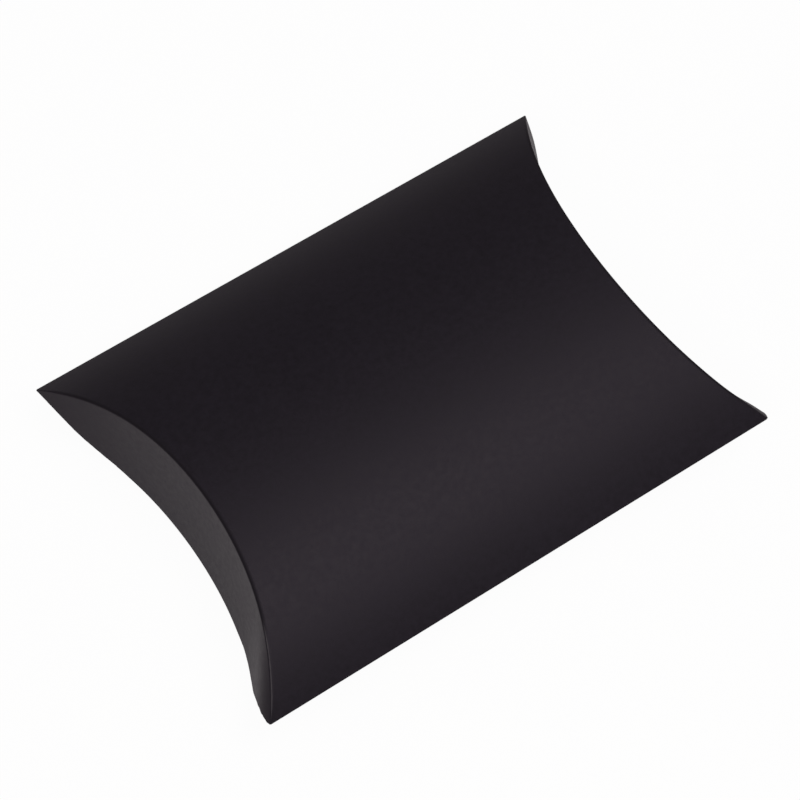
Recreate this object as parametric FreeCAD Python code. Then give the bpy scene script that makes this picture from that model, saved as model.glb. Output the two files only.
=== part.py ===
import FreeCAD, Part
import math
import os

# Pillow box folded from one die-cut sheet of card, in millimetres.
# X runs along the long folds, Y across them, Z up. The origin is on the resting strip under the middle.
# The shapes are worked out around the plane of the two long folds, and lifted by fold_level at the end.

# Overall form: the bulge is each panel's rise over that plane, the recess is how far the ends curve in
box_length = 162.0
box_width = 114.0
bulge = 16.0
end_recess = 17.1
fullness_share = 0.24
card = 0.45
rest_flat = 0.06

# Long folds and the glued seam
fold_strip = 2.4
fold_radius = 0.4
fold_bead = 0.25
corner_blunt = 0.5
tab_width = 14.0
tab_inset = 4.0
glue_film = 0.1
glue_margin = 2.0

# Scored strips that carry the end flaps
crease_width = 1.2
crease_bead = 0.2
hinge_gap = 0.2

# Outer flaps: the spring is how far each stands out at the level of the base
left_spring = 4.6
right_spring = 7.2
outer_drop = 12.0
outer_tip_level = -0.4
outer_tip_inset = 1.4
outer_shoulder = 21.3
outer_corner_radius = 41.0

# Inner flaps, with a thumb notch in the free edge
inner_spring = 0.6
inner_rise = 3.5
inner_tip_level = 1.0
inner_tip_inset = 6.0
inner_shoulder = 24.0
inner_corner_radius = 5.0
notch_width = 22.0
notch_depth = 8.0

# Cuts run past what they cut by this much
overrun = 5.0

# The bow of a panel and the arc of a crease are the same quartic curve, drawn with five poles.
# It rises from 0 at both ends of the chord to 1 in the middle.
chord_shares = (-1, -0.5, 0, 0.5, 1)
rise_shares = (0, 1 + fullness_share, 4 / 3 * (1 - fullness_share), 1 + fullness_share, 0)
end_slope_share = 2 * (1 + fullness_share)

# Values that follow from the sizes above
edge_angle = math.atan2(end_slope_share * bulge, box_width / 2)
half_chord = box_width / 2 + fold_radius * (1 / math.sin(edge_angle) - 1)
bow_slope = end_slope_share * bulge / half_chord
arc_slope = end_slope_share * end_recess / half_chord
crease_rise = math.hypot(end_recess, bulge)
miter_reach = crease_width + 4 * card
corner_x = box_length / 2 + corner_blunt
seam_y = half_chord - fold_strip
fold_level = bulge - rest_flat
reach_x = corner_x + overrun
reach_y = half_chord + overrun
reach_z = bulge + overrun

V = FreeCAD.Vector
ALONG_X = V(1, 0, 0)
ALONG_Z = V(0, 0, 1)


def block(low, high):
    """A box between two corners."""
    size = V(*high) - V(*low)
    return Part.makeBox(size.x, size.y, size.z, V(*low))


def across(y_low, y_high):
    """A slice of the space around the box, between two places along Y."""
    return block((-reach_x, y_low, -reach_z), (reach_x, y_high, reach_z))


def upper_side():
    """The space over the plane of the folds."""
    return block((-reach_x, -reach_y, 0), (reach_x, reach_y, reach_z))


def mirrored(shape, normal):
    """The shape's image in the middle plane with this normal."""
    return shape.mirror(V(0, 0, 0), normal)


def bow_edge(tip, middle, place):
    """The quartic curve from tip to middle to tip, where place turns (y, rise) into a point."""
    curve = Part.BezierCurve()
    curve.setPoles([place(half_chord * at, tip + (middle - tip) * share)
                    for at, share in zip(chord_shares, rise_shares)])
    return curve.toShape()


def flat_face(edges):
    """A flat face between edges that follow each other."""
    return Part.Face(Part.Wire(edges))


def dome(depth):
    """Everything under the upper panel's outer face, or under a face that lies this deep in the card."""
    tip = -depth * math.hypot(1, bow_slope)
    top = bow_edge(tip, bulge - depth, lambda y, z: V(-reach_x, y, z))
    ends = [(half_chord, tip), (half_chord, -reach_z), (-half_chord, -reach_z), (-half_chord, tip)]
    sides = Part.makePolygon([V(-reach_x, y, z) for y, z in ends])
    return flat_face([top] + sides.Edges).extrude(ALONG_X * (2 * reach_x))


def layer(outer, inner):
    """The sheet between two depths under the upper panel's outer face, over the plane of the folds."""
    return dome(outer).cut(dome(inner)).common(upper_side())


def lens(upper, lower):
    """The space between a face this deep under the upper panel and one this deep over the lower panel."""
    return dome(upper).common(mirrored(dome(lower), ALONG_Z))


def crease_point(y, rise, depth=0):
    """A point near the left upper crease: rise up its plane from the corners, depth into the box."""
    along = V(end_recess, 0, bulge) / crease_rise
    inward = V(bulge, 0, -end_recess) / crease_rise
    return V(-corner_x, y, 0) + along * rise + inward * depth


def crease_side(offset, towards_panel):
    """The space on one side of the left upper crease, moved by the offset towards the panel."""
    start = -reach_z
    far = offset + (2 * crease_rise if towards_panel else -crease_rise)
    edge = bow_edge(offset, crease_rise + offset, lambda y, rise: crease_point(y, rise, start))
    ends = [(half_chord, offset), (reach_y, offset), (reach_y, far),
            (-reach_y, far), (-reach_y, offset), (-half_chord, offset)]
    sides = Part.makePolygon([crease_point(y, rise, start) for y, rise in ends])
    inward = crease_point(0, 0, miter_reach) - crease_point(0, 0, start)
    return flat_face([edge] + sides.Edges).extrude(inward)


def trim_ends(shape, inset):
    """Cut both ends of an upper piece along the creases, this far inside them, and blunt the corners."""
    beyond = crease_side(inset, False)
    between = block((-box_length / 2, -reach_y, -reach_z), (box_length / 2, reach_y, reach_z))
    return shape.cut(beyond).cut(mirrored(beyond, ALONG_X)).common(between)


def trim_fold(shape):
    """Cut the ends of a long fold along the upper creases, and below its middle along the lower ones."""
    upper = trim_ends(shape.common(upper_side()), 0)
    lower = trim_ends(mirrored(shape, ALONG_Z).common(upper_side()), 0)
    return upper.fuse(mirrored(lower, ALONG_Z)).removeSplitter()


def make_bowed_panel():
    """A panel between the long folds and the scored strips."""
    return trim_ends(layer(0, card).common(across(-seam_y, seam_y)), crease_width)


def make_top_panel():
    """The upper panel, whose back margin runs over the glued fold to a cut edge."""
    margin = layer(0, card).common(across(seam_y, box_width / 2))
    return make_bowed_panel().fuse(trim_ends(margin, 0)).removeSplitter()


def rested(upper_piece):
    """The lower twin of an upper piece, flattened where the box rests on it."""
    under = block((-reach_x, -reach_y, -reach_z), (reach_x, reach_y, -fold_level))
    return mirrored(upper_piece, ALONG_Z).cut(under)


def make_front_fold():
    """The fold between the two panels: a bent strip with a rounded outer edge and a bead inside."""
    deep = card + fold_bead
    bent = lens(0, 0).cut(lens(deep, deep)).common(across(-reach_y, -seam_y))
    outer_edge = min(bent.Edges, key=lambda edge: edge.CenterOfMass.y)
    return trim_fold(bent.makeFillet(fold_radius, [outer_edge]))


def make_back_fold():
    """The fold between the lower panel and the glue tab, inside the upper panel's back margin."""
    under = card + glue_film
    return trim_fold(lens(under, 0).cut(lens(under + card, card)).common(across(seam_y, reach_y)))


def tab_plan(margin):
    """The plan of the glue tab less a margin, with ends that slant as the creases do at the corners."""
    low, high = seam_y - tab_width + margin, seam_y
    low_end, high_end = (corner_x - (half_chord - y) * arc_slope - tab_inset - margin for y in (low, high))
    corners = [V(low_end, low, 0), V(high_end, high, 0), V(-high_end, high, 0), V(-low_end, low, 0)]
    return flat_face(Part.makePolygon(corners + corners[:1]).Edges).extrude(ALONG_Z * reach_z)


def make_glue_tab():
    """The tab under the upper panel, along the seam."""
    under = card + glue_film
    return layer(under, under + card).common(tab_plan(0))


def make_seam_glue():
    """The film of glue between the tab and the upper panel."""
    return layer(card, card + glue_film).common(tab_plan(glue_margin))


def make_scored_strip():
    """The left upper crease: the panel's last strip, with the bead that scoring raises inside."""
    strip = layer(0, card + crease_bead).common(across(-seam_y, seam_y))
    return strip.common(crease_side(0, True)).cut(crease_side(crease_width, True))


def ring(place, middle, skin_tip, skin_middle):
    """The outline of a curved sheet's cut end: the outer arc, the inner one, and two short ends."""
    outer = bow_edge(0, middle, place)
    inner = bow_edge(skin_tip, middle + skin_middle, place)
    ends = [Part.makeLine(place(y, 0), place(y, skin_tip)) for y in (half_chord, -half_chord)]
    return [outer, ends[0], inner, ends[1]]


def flap_sheet(spring):
    """The sheet of a left upper flap, ruled from its crease to the same arc at the base, sprung out."""
    up_plane = crease_rise / end_recess
    skin = card * math.hypot(1, arc_slope)
    top = ring(crease_point, crease_rise, skin * up_plane, card * up_plane)
    foot = ring(lambda y, recess: V(recess - corner_x - spring, y, -bulge), end_recess, skin, card)
    sides = [Part.makeRuledSurface(high, low) for high, low in zip(top, foot)]
    shell = Part.makeShell(sides + [flat_face(top), flat_face(foot)])
    shell.sewShape()
    return Part.makeSolid(shell)


def flap_outline(tip_inset, tip_level, shoulder, drop, corner_radius):
    """The end view of a flap under the upper crease: a straight free edge between slanting shoulders."""
    tip_y, corner_y = half_chord - tip_inset, half_chord - shoulder
    ends = [(-tip_y, reach_z), (-tip_y, tip_level), (-corner_y, -drop),
            (corner_y, -drop), (tip_y, tip_level), (tip_y, reach_z)]
    points = [V(-reach_x, y, z) for y, z in ends]
    prism = flat_face(Part.makePolygon(points + points[:1]).Edges).extrude(ALONG_X * reach_x)
    lengthwise = [edge for edge in prism.Edges if edge.BoundBox.XLength > overrun]
    lengthwise.sort(key=lambda edge: edge.CenterOfMass.z)
    return prism.makeFillet(corner_radius, lengthwise[:2])


def make_flap(spring, outline):
    """A left upper flap, cut to its outline and clear of its scored strip."""
    return flap_sheet(spring).common(outline).cut(crease_side(-hinge_gap, True))


def make_outer_flap(spring):
    """The flap that closes the end, hinged on the upper panel."""
    outline = flap_outline(outer_tip_inset, outer_tip_level, outer_shoulder, outer_drop,
                           outer_corner_radius)
    return make_flap(spring, outline)


def make_inner_flap():
    """The flap behind it, hinged on the lower panel, made upside down with its thumb notch."""
    outline = flap_outline(inner_tip_inset, inner_tip_level, inner_shoulder, inner_rise,
                           inner_corner_radius)
    notch_radius = (notch_width ** 2 / 4 + notch_depth ** 2) / (2 * notch_depth)
    notch_centre = V(-reach_x, 0, notch_depth - inner_rise - notch_radius)
    notch = Part.makeCylinder(notch_radius, reach_x, notch_centre, ALONG_X)
    return mirrored(make_flap(inner_spring, outline.cut(notch)), ALONG_Z)


def make_nodes():
    """Every panel, fold, crease and flap, around the plane of the folds."""
    strip = make_scored_strip()
    inner_flap = make_inner_flap()
    return {
        "top_panel": make_top_panel(),
        "bottom_panel": rested(make_bowed_panel()),
        "front_fold": make_front_fold(),
        "back_fold": make_back_fold(),
        "glue_tab": make_glue_tab(),
        "seam_glue": make_seam_glue(),
        "left_outer_crease": strip,
        "right_outer_crease": mirrored(strip, ALONG_X),
        "left_inner_crease": rested(strip),
        "right_inner_crease": rested(mirrored(strip, ALONG_X)),
        "left_outer_flap": make_outer_flap(left_spring),
        "right_outer_flap": mirrored(make_outer_flap(right_spring), ALONG_X),
        "left_inner_flap": inner_flap,
        "right_inner_flap": mirrored(inner_flap, ALONG_X),
    }


os.makedirs("parts", exist_ok=True)
for name, shape in make_nodes().items():
    solid, = shape.Solids
    solid.translate(ALONG_Z * fold_level)
    solid.exportStep(f"parts/{name}.step")
    print(name, solid.isValid(), round(solid.Volume, 2))
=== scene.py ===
import bpy
import math
from mathutils import Matrix, Vector


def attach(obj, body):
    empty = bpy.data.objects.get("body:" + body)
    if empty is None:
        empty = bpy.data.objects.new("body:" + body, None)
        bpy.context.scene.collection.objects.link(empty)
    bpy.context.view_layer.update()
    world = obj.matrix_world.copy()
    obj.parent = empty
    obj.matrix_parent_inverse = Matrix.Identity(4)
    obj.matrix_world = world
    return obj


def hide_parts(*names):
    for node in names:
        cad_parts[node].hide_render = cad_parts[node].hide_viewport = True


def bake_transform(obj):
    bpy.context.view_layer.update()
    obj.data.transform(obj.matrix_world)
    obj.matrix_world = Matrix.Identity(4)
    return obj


# The looks of a black card pillow box, in metres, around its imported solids.
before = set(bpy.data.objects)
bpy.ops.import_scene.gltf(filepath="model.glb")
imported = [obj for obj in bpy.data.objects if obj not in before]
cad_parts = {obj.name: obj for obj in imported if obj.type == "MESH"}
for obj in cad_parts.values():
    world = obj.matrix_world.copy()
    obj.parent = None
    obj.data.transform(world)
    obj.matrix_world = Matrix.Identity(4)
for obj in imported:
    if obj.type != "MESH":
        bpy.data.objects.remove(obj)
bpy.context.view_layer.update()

# Sizes of the box, as in the part's source. Levels are heights over the floor.
mm = 0.001
box_length = 162 * mm
box_width = 114 * mm
bulge = 16 * mm
end_recess = 17.1 * mm
fullness_share = 0.24
card = 0.45 * mm
fold_level = 15.94 * mm
fold_radius = 0.4 * mm
fold_strip = 2.4 * mm
corner_x = 81.5 * mm
seam_depth = 0.55 * mm
seam_tuck = 1 * mm

# Worked out from them: a panel's slope and angle at the long folds, half its chord, and the glue tab's edge
edge_slope_share = 2 * (1 + fullness_share)
edge_angle = math.atan(edge_slope_share * bulge / (box_width / 2))
half_chord = box_width / 2 + fold_radius * (1 / math.sin(edge_angle) - 1)
bow_slope = edge_slope_share * bulge / half_chord
seam_y = half_chord - fold_strip

# An end crease's bend: its reach into the panel and the flap, where it narrows at the tips and where it stops
panel_leg = 1.1 * mm
flap_leg = 0.6 * mm
tip_taper = 6 * mm
crease_stop = 0.1 * mm

# How far each flap has sprung out at the base, and how much of that is a flare towards its free edge
left_spring = 4.6 * mm
right_spring = 7.2 * mm
inner_spring = 0.6 * mm
flare_share = 0.25

# Outlines of the flaps in the end view, and the thumb notch of the inner ones
outer_outline = {"tip_inset": 0.5 * mm, "tip_level": 0.1 * mm, "shoulder": 21.3 * mm, "drop": 12 * mm,
                 "corner_radius": 41 * mm}
inner_outline = {"tip_inset": 6 * mm, "tip_level": 1 * mm, "shoulder": 24 * mm, "drop": 3.5 * mm,
                 "corner_radius": 5 * mm}
notch_width = 22 * mm
notch_depth = 8 * mm

# Tips that lean out by a slope, which grows across the box from start to end and dies away with depth
tip_rolls = {
    "left_outer_flap": (
        {"side": -1, "start": 30 * mm, "end": 53 * mm, "lean": 0.48, "depth": 5.5 * mm},
        {"side": 1, "start": 28 * mm, "end": 54 * mm, "lean": 0.088, "depth": 30 * mm}),
    "right_outer_flap": (
        {"side": 1, "start": 40 * mm, "end": 53 * mm, "lean": 0.11, "depth": 12 * mm},
        {"side": -1, "start": 43 * mm, "end": 53 * mm, "lean": 0.62, "depth": 3 * mm})}

# The flap with the trimmed tip and the painted highlight: the planes that cut back its leaning front tip, and
# where a highlight is painted on its crease
trimmed_highlit_flap = "left_outer_flap"
front_tip_cuts = (
    ((-82.557 * mm, -half_chord, fold_level), (-0.95863, 0.23874, -0.15502)),
    ((-81.700 * mm, -half_chord, fold_level), (-0.97494, 0.04104, -0.21864)))
front_tip_start = 25 * mm
highlight_start = 34 * mm
highlight_full = 41 * mm
highlight_reach = 0.24 * mm

# How wide the painted shade of a scored crease reaches, and where that fades towards the corners
shade_reach = 0.8 * mm
shade_fade = 12 * mm

# Steps across a panel and a flap, round a fold, bend or corner, and across the strip beside the glue tab
panel_steps = 90
flap_steps = 110
bend_steps = 6
strip_steps = 4


def rise(y):
    """How far a panel has risen at this place across the box: 0 at the long folds, 1 in the middle."""
    share = (y / half_chord) ** 2
    return (1 - share) * (1 + fullness_share * share)


def spaced(start, end, count):
    """Places from start to end, closer together towards both."""
    middle, reach = (start + end) / 2, (end - start) / 2
    return [middle - reach * math.cos(math.pi * i / count) for i in range(count + 1)]


def eased(value, start, end):
    """0 before start and 1 after end, with a smooth rise between them."""
    share = min(max((value - start) / (end - start), 0), 1)
    return share * share * (3 - 2 * share)


def bend_share(y, tip):
    """How much of its full reach a crease's bend has here: none at the flap's tip and beyond it."""
    return min(max((tip - abs(y)) / tip_taper, 0), 1)


def draw_line(name, points):
    """A new piece that is one line of edges, drawn by extruding a point from each place to the next."""
    bpy.ops.object.select_all(action="DESELECT")
    bpy.ops.mesh.primitive_plane_add(size=card, location=points[0])
    piece = bpy.context.object
    piece.name = piece.data.name = name
    bpy.ops.object.mode_set(mode="EDIT")
    bpy.ops.mesh.select_mode(type="VERT")
    bpy.ops.mesh.select_all(action="SELECT")
    bpy.ops.mesh.merge(type="CENTER")
    for here, there in zip(points, points[1:]):
        bpy.ops.mesh.extrude_vertices_move(TRANSFORM_OT_translate={"value": Vector(there) - Vector(here)})
    bpy.ops.mesh.select_all(action="SELECT")
    return piece


def select_faces(piece, wanted):
    """Select only the faces whose middle is wanted, in edit mode."""
    bpy.ops.mesh.select_mode(type="FACE")
    bpy.ops.mesh.select_all(action="DESELECT")
    bpy.ops.object.mode_set(mode="OBJECT")
    for face in piece.data.polygons:
        face.select = wanted(face.center)
    bpy.ops.object.mode_set(mode="EDIT")


def cut_away(point, normal):
    """Cut what is selected along a plane and drop what lies beyond it."""
    bpy.ops.mesh.bisect(plane_co=point, plane_no=normal, clear_outer=True)


def settle(piece):
    """Leave edit mode with doubles merged, put the piece's place into its mesh and rest it on the floor."""
    bpy.ops.mesh.select_all(action="SELECT")
    bpy.ops.mesh.remove_doubles(threshold=1e-7)
    bpy.ops.object.mode_set(mode="OBJECT")
    bpy.ops.object.transform_apply(location=True, rotation=True, scale=True)
    for vertex in piece.data.vertices:
        vertex.co.z = max(vertex.co.z, 0)


def apply_modifier(piece, kind, **settings):
    """Add a modifier to the piece and apply it."""
    bpy.context.view_layer.objects.active = piece
    modifier = piece.modifiers.new(kind.title(), kind)
    for key, value in settings.items():
        setattr(modifier, key, value)
    bpy.ops.object.modifier_apply(modifier=modifier.name)


def flip_faces():
    """Turn round all faces of the active piece."""
    bpy.ops.object.mode_set(mode="EDIT")
    bpy.ops.mesh.select_all(action="SELECT")
    bpy.ops.mesh.flip_normals()
    bpy.ops.object.mode_set(mode="OBJECT")


def give_thickness(piece):
    """Thicken a sheet inwards by the card, with their own finish on the cut edges, and shade it smooth."""
    piece.data.materials.append(card_finish)
    piece.data.materials.append(edge_finish)
    apply_modifier(piece, "SOLIDIFY", thickness=card, offset=-1, use_even_offset=True, material_offset_rim=1)
    bpy.ops.object.select_all(action="DESELECT")
    piece.select_set(True)
    bpy.ops.object.shade_smooth_by_angle(angle=math.radians(35))


def end_x(height, inset):
    """The end of a panel, this far inside its crease at this height over or under the long folds."""
    return max(end_recess / bulge * abs(height) - corner_x, -box_length / 2) + inset


def fold_arc(tip_y, tip_height, towards):
    """The rounded long fold in cross section, from its upper face to its lower one."""
    centre = tip_y - towards * fold_radius / math.sin(edge_angle)
    turn = math.pi / 2 - edge_angle
    places = []
    for i in range(bend_steps + 1):
        angle = turn * (1 - 2 * i / bend_steps)
        y = centre + towards * fold_radius * math.cos(angle)
        places.append((y, tip_height + fold_radius * math.sin(angle)))
    return places


def sleeve_line():
    """The sleeve's left end, from the cut back edge over the top and round the front fold to the glue tab."""
    outer_tip = half_chord - outer_outline["tip_inset"]
    inner_tip = half_chord - inner_outline["tip_inset"]
    sink = seam_depth * math.hypot(1, bow_slope)
    front = fold_arc(-half_chord, 0, -1)
    back = fold_arc(half_chord - sink / 2 / bow_slope, -sink / 2, 1)[::-1]
    top_places = spaced(box_width / 2, front[0][0], panel_steps)
    bottom_places = spaced(front[-1][0], back[0][0], panel_steps)
    section = [(y, bulge * rise(y), panel_leg * bend_share(y, outer_tip)) for y in top_places]
    section += [(y, height, 0) for y, height in front[1:-1]]
    section += [(y, -bulge * rise(y), panel_leg * bend_share(y, inner_tip)) for y in bottom_places]
    section += [(y, height, seam_tuck * i / bend_steps) for i, (y, height) in enumerate(back)][1:-1]
    points = [(end_x(height, inset), y, fold_level + height) for y, height, inset in section]
    for y in spaced(back[-1][0], seam_y, strip_steps):
        level = fold_level + (bulge - seam_depth + sink) * rise(y) - sink
        points.append((end_x(bulge * rise(y), seam_tuck), y, level))
    return points


def model_sleeve():
    """The two panels and the two long folds, as one sheet from the cut back edge round to the glue tab."""
    piece = draw_line("sleeve_sheet", sleeve_line())
    shares = (1, 0.99, 0.96, 0.9, 0.8, 0.65, 0.5, 0.35, 0.2, 0.08, 0)
    for here, there in zip(shares, shares[1:]):
        bpy.ops.mesh.extrude_edges_move()
        bpy.ops.transform.resize(value=(there / here, 1, 1), center_override=(0, 0, 0))
    settle(piece)
    apply_modifier(piece, "MIRROR", use_axis=(True, False, False), merge_threshold=1e-6)
    bpy.ops.object.mode_set(mode="EDIT")
    bpy.ops.mesh.select_all(action="SELECT")
    bpy.ops.mesh.normals_make_consistent(inside=False)
    bpy.ops.object.mode_set(mode="OBJECT")
    highest = max(piece.data.polygons, key=lambda face: face.center.z)
    if highest.normal.z < 0:
        flip_faces()
    give_thickness(piece)
    mark_fold(piece)
    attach(piece, "sleeve")
    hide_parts("top_panel", "bottom_panel", "front_fold", "back_fold")


def flap_lines(spring):
    """How a flap's lines follow each other: the shift along X, and the share of the way down to the base."""
    bend_fall = flap_leg / (2 * bulge)
    shares = [i / bend_steps for i in range(bend_steps + 1)]
    bend = [((1 - share) ** 2 * panel_leg, share ** 2 * bend_fall) for share in shares]
    falls = (0.03, 0.05, 0.08, 0.13, 0.2, 0.28, 0.36, 0.44, 0.52, 0.6, 0.68, 0.76, 0.84, 0.92, 0.97)
    sheet = [(0, fall) for fall in falls]
    lines = []
    for inset, fall in bend + sheet:
        lines.append((inset - spring * fall * (1 - flare_share + flare_share * fall), fall))
    return lines


def trim_to_outline(tip_inset, tip_level, shoulder, drop, corner_radius):
    """Cut a flap's sheet to a straight free edge between two slanting shoulders, with rounded corners."""
    tip_y, corner_y = half_chord - tip_inset, half_chord - shoulder
    slant = math.atan2(tip_level + drop, tip_y - corner_y)
    centre_y = corner_y - corner_radius * math.tan(slant / 2)
    centre_level = fold_level - drop + corner_radius
    planes = []
    for side in (-1, 1):
        planes.append(((0, side * tip_y, 0), (0, side, 0)))
        for turn in range(bend_steps + 1):
            angle = slant * turn / bend_steps
            out = Vector((0, side * math.sin(angle), -math.cos(angle)))
            planes.append((Vector((0, side * centre_y, centre_level)) + out * corner_radius, out))
    for point, normal in planes:
        bpy.ops.mesh.select_all(action="SELECT")
        cut_away(point, normal)


def shape_tips(piece, rolls, tip):
    """Narrow a flap's bend towards its tips, and lean out those that have sprung."""
    settle(piece)
    for vertex in piece.data.vertices:
        x, y, z = vertex.co
        crease = end_recess * rise(y) - corner_x
        depth = max(fold_level + bulge * rise(y) - z, 0)
        x = crease + max(x - crease, 0) * bend_share(y, tip) + min(x - crease, 0)
        for roll in rolls:
            slope = roll["lean"] * eased(roll["side"] * y, roll["start"], roll["end"])
            x -= slope * roll["depth"] * math.erf(depth / roll["depth"])
        vertex.co.x = x
    bpy.ops.object.mode_set(mode="EDIT")


def face_towards(piece, direction):
    """Turn the faces of a thin sheet so that on the whole they look this way."""
    total = sum((face.normal * face.area for face in piece.data.polygons), Vector())
    if total.dot(Vector(direction)) < 0:
        flip_faces()


def model_flap(end, lower, spring, outline):
    """An end flap with its crease's bend, modelled as the left upper one and then turned to its place."""
    body = f"{end}_{'inner' if lower else 'outer'}_flap"
    lines = flap_lines(spring)
    first_shift = lines[0][0]
    reach = half_chord - crease_stop
    points = []
    for y in spaced(-reach, reach, flap_steps):
        points.append((first_shift - corner_x + end_recess * rise(y), y, fold_level + bulge * rise(y)))
    piece = draw_line(f"{body}_sheet", points)
    base = (0, 0, fold_level - bulge)
    for (shift, fall), (next_shift, next_fall) in zip(lines, lines[1:]):
        bpy.ops.mesh.extrude_edges_move(TRANSFORM_OT_translate={"value": (next_shift - shift, 0, 0)})
        bpy.ops.transform.resize(value=(1, 1, (1 - next_fall) / (1 - fall)), center_override=base)
    trim_to_outline(**outline)
    shape_tips(piece, tip_rolls.get(body, ()), half_chord - outline["tip_inset"])
    if body == trimmed_highlit_flap:
        for point, normal in front_tip_cuts:
            select_faces(piece, lambda place: place.y < -front_tip_start)
            cut_away(point, normal)
    side = 1 if end == "right" else -1
    bpy.ops.mesh.select_all(action="SELECT")
    bpy.ops.transform.resize(value=(-side, 1, -1 if lower else 1), center_override=(0, 0, fold_level))
    settle(piece)
    face_towards(piece, (side, 0, 0))
    give_thickness(piece)
    if lower:
        cut_notch(piece, side)
    mark_crease(piece, side, lower, body == trimmed_highlit_flap)
    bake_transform(piece)
    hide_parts(body, body.replace("flap", "crease"))


def cut_notch(piece, side):
    """Cut the thumb notch, part of a circle, out of an inner flap's free edge."""
    radius = (notch_width ** 2 / 4 + notch_depth ** 2) / (2 * notch_depth)
    level = fold_level + inner_outline["drop"] - notch_depth + radius
    bpy.ops.object.select_all(action="DESELECT")
    bpy.ops.mesh.primitive_cylinder_add(vertices=96, radius=radius, depth=bulge * 4,
                                        location=(side * corner_x, 0, level), rotation=(0, math.pi / 2, 0))
    cutter = bpy.context.object
    apply_modifier(piece, "BOOLEAN", object=cutter, operation="DIFFERENCE", solver="EXACT")
    bpy.data.objects.remove(cutter)


def mark_crease(piece, side, lower, highlit):
    """Store on each vertex how near it lies to the middle of the crease's bend, for painted shade there or,
    towards one flap's front tip, a painted highlight.
    """
    painted_crease_shade = piece.data.attributes.new("painted_crease_shade", "FLOAT", "POINT")
    painted_crease_highlight = piece.data.attributes.new("painted_crease_highlight", "FLOAT", "POINT")
    for i, vertex in enumerate(piece.data.vertices):
        y = vertex.co.y
        height = bulge * rise(y) - flap_leg / 4
        bend_x = side * (corner_x - end_recess * rise(y) - panel_leg / 4)
        bend = Vector((bend_x, y, fold_level + (-height if lower else height)))
        away = (vertex.co - bend).length
        highlight_share = eased(-y, highlight_start, highlight_full) if highlit else 0
        faded = eased(half_chord - abs(y), 0, shade_fade)
        painted_crease_shade.data[i].value = max(1 - away / shade_reach, 0) * (1 - highlight_share) * faded
        # Painted highlight on the crease, towards the front tip of one flap.
        painted_crease_highlight.data[i].value = max(1 - away / highlight_reach, 0) * highlight_share


def mark_fold(piece):
    """Store on each vertex whether it lies on the front fold, which gets painted shade like a crease."""
    start = fold_arc(-half_chord, 0, -1)[0][0]
    painted_crease_shade = piece.data.attributes.new("painted_crease_shade", "FLOAT", "POINT")
    for i, vertex in enumerate(piece.data.vertices):
        # Painted shade along the front fold.
        painted_crease_shade.data[i].value = eased(start - vertex.co.y, 0, fold_radius / 2)


class Wire:
    """One value in a finish. Sums, differences and products with it add Math nodes."""

    def __init__(self, finish, socket):
        self.finish, self.socket = finish, socket

    def math(self, operation, *values):
        """Add a Math node on these values."""
        return self.finish.node("Math", {"operation": operation}, dict(enumerate(values)))

    def __add__(self, other):
        return self.math("ADD", self, other)

    def __sub__(self, other):
        return self.math("SUBTRACT", self, other)

    def __rsub__(self, other):
        return self.math("SUBTRACT", other, self)

    def __mul__(self, other):
        return self.math("MULTIPLY", self, other)

    __radd__, __rmul__ = __add__, __mul__


class Finish:
    """A material or a world, and the nodes that its surface is mixed from."""

    def __init__(self, block):
        block.use_nodes = True
        self.block, self.tree = block, block.node_tree

    def node(self, kind, settings=None, inputs=None, output=0):
        """Add a node with its settings and then its inputs, and give one of its outputs."""
        node = self.tree.nodes.new("ShaderNode" + kind)
        for key, value in (settings or {}).items():
            setattr(node, key, value)
        for key, value in (inputs or {}).items():
            self.feed(node.inputs[key], value)
        return Wire(self, node.outputs[output])

    def feed(self, socket, value):
        """Set a socket's value, or link it."""
        if isinstance(value, Wire):
            self.tree.links.new(value.socket, socket)
        else:
            socket.default_value = value

    def surface(self, inputs):
        """Set or link the inputs of the material's own shader."""
        for key, value in inputs.items():
            self.feed(self.tree.nodes["Principled BSDF"].inputs[key], value)

    def noise(self, size, detail=2, roughness=0.5):
        """A noise whose marks are about this large."""
        place = self.node("TexCoord", output="Object")
        inputs = {"Vector": place, "Scale": 1 / size, "Detail": detail, "Roughness": roughness}
        return self.node("TexNoise", None, inputs)

    def bump(self, height, strength, distance):
        """The normal of a surface with these heights."""
        return self.node("Bump", None, {"Strength": strength, "Distance": distance, "Height": height})

    def blended(self, factor, first, second):
        """A mix of two colours or colour wires."""
        return self.node("Mix", {"data_type": "RGBA"}, {0: factor, 6: first, 7: second}, 2)

    def colours(self, factor, first, second):
        """A mix of two plain colours."""
        return self.blended(factor, (*first, 1), (*second, 1))


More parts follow.
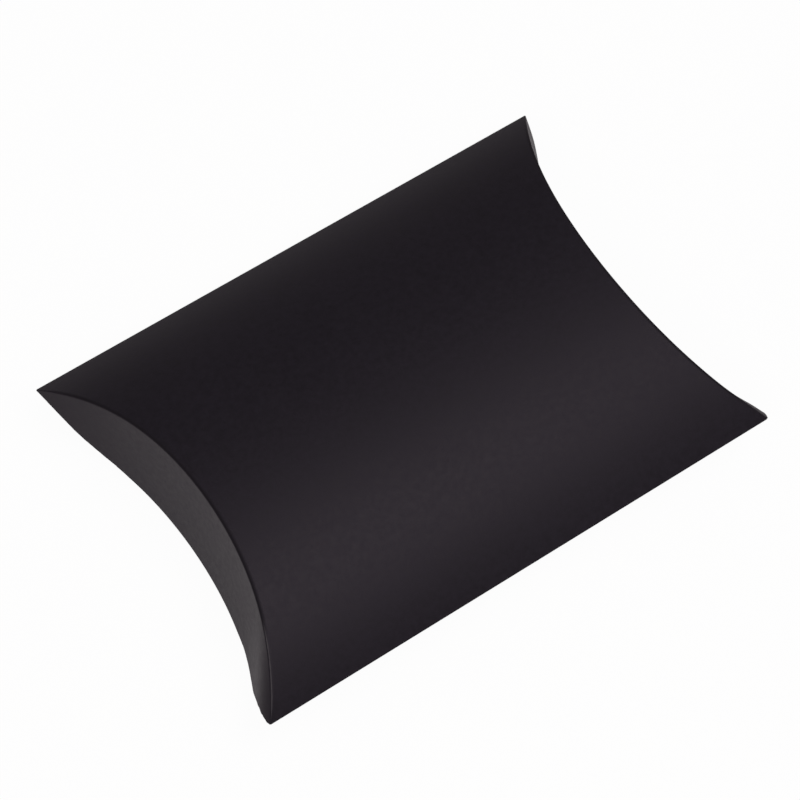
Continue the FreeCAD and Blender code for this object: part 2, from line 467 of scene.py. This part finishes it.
def make_card_finish():
    """Matt black board: a fibrous, slightly mottled face with a soft sheen, painted shade in the scored
    creases and on the front fold, and a painted highlight on one crease.
    """
    finish = Finish(bpy.data.materials.new("black_card"))
    fibre = finish.noise(0.45 * mm, 3, 0.6)
    mottle = finish.noise(1.6 * mm, 3)
    cloud = finish.noise(30 * mm)
    painted_crease_shade = finish.node("Attribute", {"attribute_name": "painted_crease_shade"}, output="Fac")
    painted_crease_highlight = finish.node("Attribute", {"attribute_name": "painted_crease_highlight"}, output="Fac")
    shade = fibre * 0.4 + mottle * 0.5 + cloud * 0.1
    base = finish.colours(shade, (0.001, 0.0008, 0.0012), (0.0154, 0.0124, 0.0188))
    # Painted shade: the scored creases and the front fold are darkened in the colour.
    base = finish.blended(painted_crease_shade * 0.6, base, (0.002, 0.0016, 0.002, 1))
    # Painted highlight: a light line on one flap's crease towards its front tip, broken up by the mottle.
    base = finish.blended(painted_crease_highlight * (0.25 + mottle), base, (0.09, 0.083, 0.085, 1))
    rough = 0.5 + (mottle - 0.5) * 0.19 + (fibre - 0.5) * 0.11 + painted_crease_shade * 0.3
    bump = finish.bump(fibre * 0.4 + mottle * 0.6, 0.2, 0.12 * mm)
    finish.surface({"Base Color": base, "Roughness": rough, "Normal": bump, "IOR": 1.3})
    gloss = {"Specular Tint": (1, 0.86, 0.97, 1), "Sheen Weight": 0.018, "Sheen Tint": (1, 0.5, 0.65, 1)}
    finish.surface(gloss)
    return finish.block


def make_edge_finish():
    """The cut edge of the board: dyed through, rough and a little lighter than its face."""
    finish = Finish(bpy.data.materials.new("cut_card_edge"))
    fibre = finish.noise(0.12 * mm, 3, 0.7)
    base = finish.colours(fibre, (0.012, 0.01, 0.011), (0.045, 0.04, 0.042))
    bump = finish.bump(fibre, 0.5, 0.05 * mm)
    finish.surface({"Base Color": base, "Roughness": 0.85, "Normal": bump})
    return finish.block


def make_glue_finish():
    """Dried adhesive: pale, slightly yellow and a little glossy."""
    finish = Finish(bpy.data.materials.new("dried_glue"))
    blot = finish.noise(4 * mm)
    base = finish.colours(blot, (0.45, 0.41, 0.31), (0.62, 0.58, 0.47))
    bump = finish.bump(blot, 0.4, 0.05 * mm)
    finish.surface({"Base Color": base, "Roughness": 0.4 + blot * 0.2, "Normal": bump})
    return finish.block


def make_floor():
    """A plain white floor. Seen directly or in a gloss it is white, with a trace of the box's shadow."""
    bpy.ops.object.select_all(action="DESELECT")
    bpy.ops.mesh.primitive_plane_add(size=6, location=(0, 0, -0.02 * mm))
    floor = bpy.context.object
    floor.name = "floor"
    finish = Finish(bpy.data.materials.new("white_floor"))
    finish.surface({"Base Color": (0.93, 0.86, 0.88, 1), "Roughness": 0.9})
    rays = ("Is Camera Ray", "Is Glossy Ray", "Is Transmission Ray")
    seen, glossy, through = [finish.node("LightPath", output=ray) for ray in rays]
    white = finish.node("Emission", None, {"Color": (1, 1, 1, 1), "Strength": 1})
    lit = Wire(finish, finish.tree.nodes["Principled BSDF"].outputs[0])
    white_share = seen * 0.96 + glossy * 0.5 + through * 0.5
    mixed = finish.node("MixShader", None, {0: white_share, 1: lit, 2: white})
    finish.feed(finish.tree.nodes["Material Output"].inputs["Surface"], mixed)
    floor.data.materials.append(finish.block)


def add_softbox(name, place, size, power):
    """A rectangular soft light that looks at the middle of the floor."""
    bpy.ops.object.light_add(type="AREA", location=place)
    lamp = bpy.context.object
    lamp.name = name
    lamp.data.shape = "RECTANGLE"
    lamp.data.size, lamp.data.size_y = size
    lamp.data.energy = power
    lamp.rotation_euler = (-Vector(place)).to_track_quat("-Z", "Y").to_euler()


def light_studio():
    """A large softbox overhead, a smaller one on the left and an even grey room."""
    world = bpy.data.worlds.new("studio")
    bpy.context.scene.world = world
    room = Finish(world)
    room.feed(room.tree.nodes["Background"].inputs["Color"], (0.26, 0.26, 0.26, 1))
    add_softbox("overhead", (0.32, -0.36, 1.5), (1.05, 0.9), 10.5)
    add_softbox("left_front", (-0.95, -0.6, 1.25), (0.5, 0.5), 6)


def place_camera():
    """The photograph's viewpoint: high, over the front left corner, with a long lens."""
    bpy.ops.object.camera_add()
    camera = bpy.context.object
    right = Vector((0.8211262736, -0.5662867090, 0.0712109958))
    up = Vector((0.4816932032, 0.7545154203, 0.4457332593))
    turn = Matrix((right, up, right.cross(up))).transposed()
    camera.matrix_world = Matrix.Translation((-0.261553, -0.281398, 0.777738)) @ turn.to_4x4()
    camera.data.sensor_width = 36
    camera.data.lens = 141.92
    camera.data.clip_start = 0.01
    bpy.context.scene.camera = camera


card_finish = make_card_finish()
edge_finish = make_edge_finish()
glue_finish = make_glue_finish()
model_sleeve()
for end, outer_spring in (("left", left_spring), ("right", right_spring)):
    model_flap(end, False, outer_spring, outer_outline)
    model_flap(end, True, inner_spring, inner_outline)
for node, finish in (("glue_tab", card_finish), ("seam_glue", glue_finish)):
    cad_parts[node].data.materials.clear()
    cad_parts[node].data.materials.append(finish)
make_floor()
light_studio()
place_camera()
bpy.context.scene.view_settings.view_transform = "Standard"
